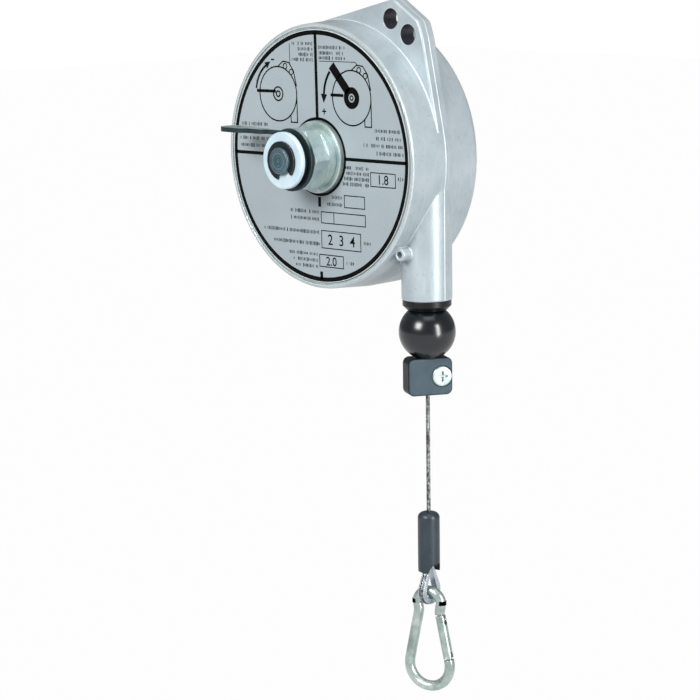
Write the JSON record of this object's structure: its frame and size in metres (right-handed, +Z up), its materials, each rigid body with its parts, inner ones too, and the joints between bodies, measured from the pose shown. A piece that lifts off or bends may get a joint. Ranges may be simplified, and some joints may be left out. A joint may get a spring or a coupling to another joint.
{
  "type": "tool balancer",
  "caption": "Hanging spring-drum tool balancer: round cast casing with lug, hex load adjuster with release lever, steel cable with stop ball and spring hook.",
  "frame": {"origin": "centre of the suspension hole, halfway through the lug", "axes": "+Z up as it hangs, -Y towards the front cover and adjuster, +X towards the cable's side; the drum's axle runs along Y"},
  "size_m": [0.1503, 0.088, 0.3864],
  "materials": {
    "cast_aluminium": "fine cast, silver paint",
    "spring_steel": "hardened strip, satin",
    "label_foil": "printed foil, satin",
    "zinc_steel": "turned, zinc plated",
    "bright_steel": "bright",
    "black_steel": "blackened",
    "black_plastic": "moulded",
    "drum_aluminium": "turned",
    "bronze": "sintered bronze",
    "wire_rope": "stranded, galvanised",
    "black_rubber": "moulded rubber",
    "grey_plastic": "glass filled, satin",
    "ferrule_aluminium": "pressed",
    "thimble_zinc": "zinc plated sheet",
    "hook_zinc": "zinc plated wire"
  },
  "bodies": {
    "casing": {"casing": "cast_aluminium", "front_cover": "cast_aluminium", "cover_ring": "zinc_steel", "label": "label_foil", "axle": "zinc_steel", "axle_washer": "zinc_steel", "axle_nut": "zinc_steel", "front_bush": "zinc_steel", "bush_pin": "bright_steel", "end_washer": "zinc_steel", "circlip": "black_steel", "neck_bush": "black_plastic"},
    "adjuster": {"adjuster_hub": "zinc_steel", "wrap_spring": "spring_steel", "friction_washer": "black_steel"},
    "lever": {"release_lever": "zinc_steel"},
    "drum": {"drum": "drum_aluminium", "drum_bush": "bronze", "spring_cover": "zinc_steel", "spring_cover_bush": "black_plastic", "cover_rivets": "bright_steel", "mainspring": "spring_steel", "spring_anchor": "bright_steel", "cable_on_drum": "wire_rope", "cable_anchor": "bright_steel"},
    "cable_end": {"cable_in_neck": "wire_rope", "cable_core": "wire_rope", "stop_ball": "black_rubber", "ball_collar": "black_plastic", "clamp_front": "grey_plastic", "clamp_back": "grey_plastic", "clamp_screw": "zinc_steel", "clamp_nut": "zinc_steel", "cable_tail": "wire_rope", "ferrule": "ferrule_aluminium", "sleeve": "black_plastic", "thimble": "thimble_zinc", "cable_eye": "wire_rope"},
    "hook": {"hook_body": "hook_zinc", "gate_pin": "bright_steel", "gate_spring": "spring_steel"},
    "gate": {"hook_gate": "hook_zinc"}
  },
  "joints": [
    {"name": "adjuster_turn", "type": "hinge", "parent": "casing", "child": "adjuster", "pos_m": [-0.03846, -0.024, -0.07614], "axis": [0, 1, 0], "range_deg": [-1440, 1440]},
    {"name": "lever_release", "type": "hinge", "parent": "adjuster", "child": "lever", "pos_m": [-0.03846, -0.0446, -0.07614], "axis": [0, 1, 0], "range_deg": [0, 20], "stiffness_Nm_per_rad": 0.35, "springref_deg": -5.73, "deforming": ["wrap_spring"]},
    {"name": "drum_turn", "type": "hinge", "parent": "casing", "child": "drum", "pos_m": [-0.03846, 0, -0.07614], "axis": [0, 1, 0], "range_deg": [0, 1925], "deforming": ["mainspring"]},
    {"name": "cable_slide", "type": "slide", "parent": "casing", "child": "cable_end", "axis": [0, 0, -1], "range_m": [0, 2], "deforming": ["cable_in_neck"]},
    {"name": "hook_swing", "type": "hinge", "parent": "cable_end", "child": "hook", "pos_m": [0.02104, 0, -0.31794], "axis": [0.9511, 0.309, 0], "range_deg": [-60, 60]},
    {"name": "gate_open", "type": "hinge", "parent": "hook", "child": "gate", "pos_m": [0.03205, 0.00358, -0.35484], "axis": [0.309, -0.9511, 0], "range_deg": [0, 15], "stiffness_Nm_per_rad": 0.02, "springref_deg": -8.59, "deforming": ["gate_spring"]}
  ],
  "couplings": [
    {"joint": "cable_slide", "follows": "drum_turn", "m_per_rad": 0.0595}
  ]
}
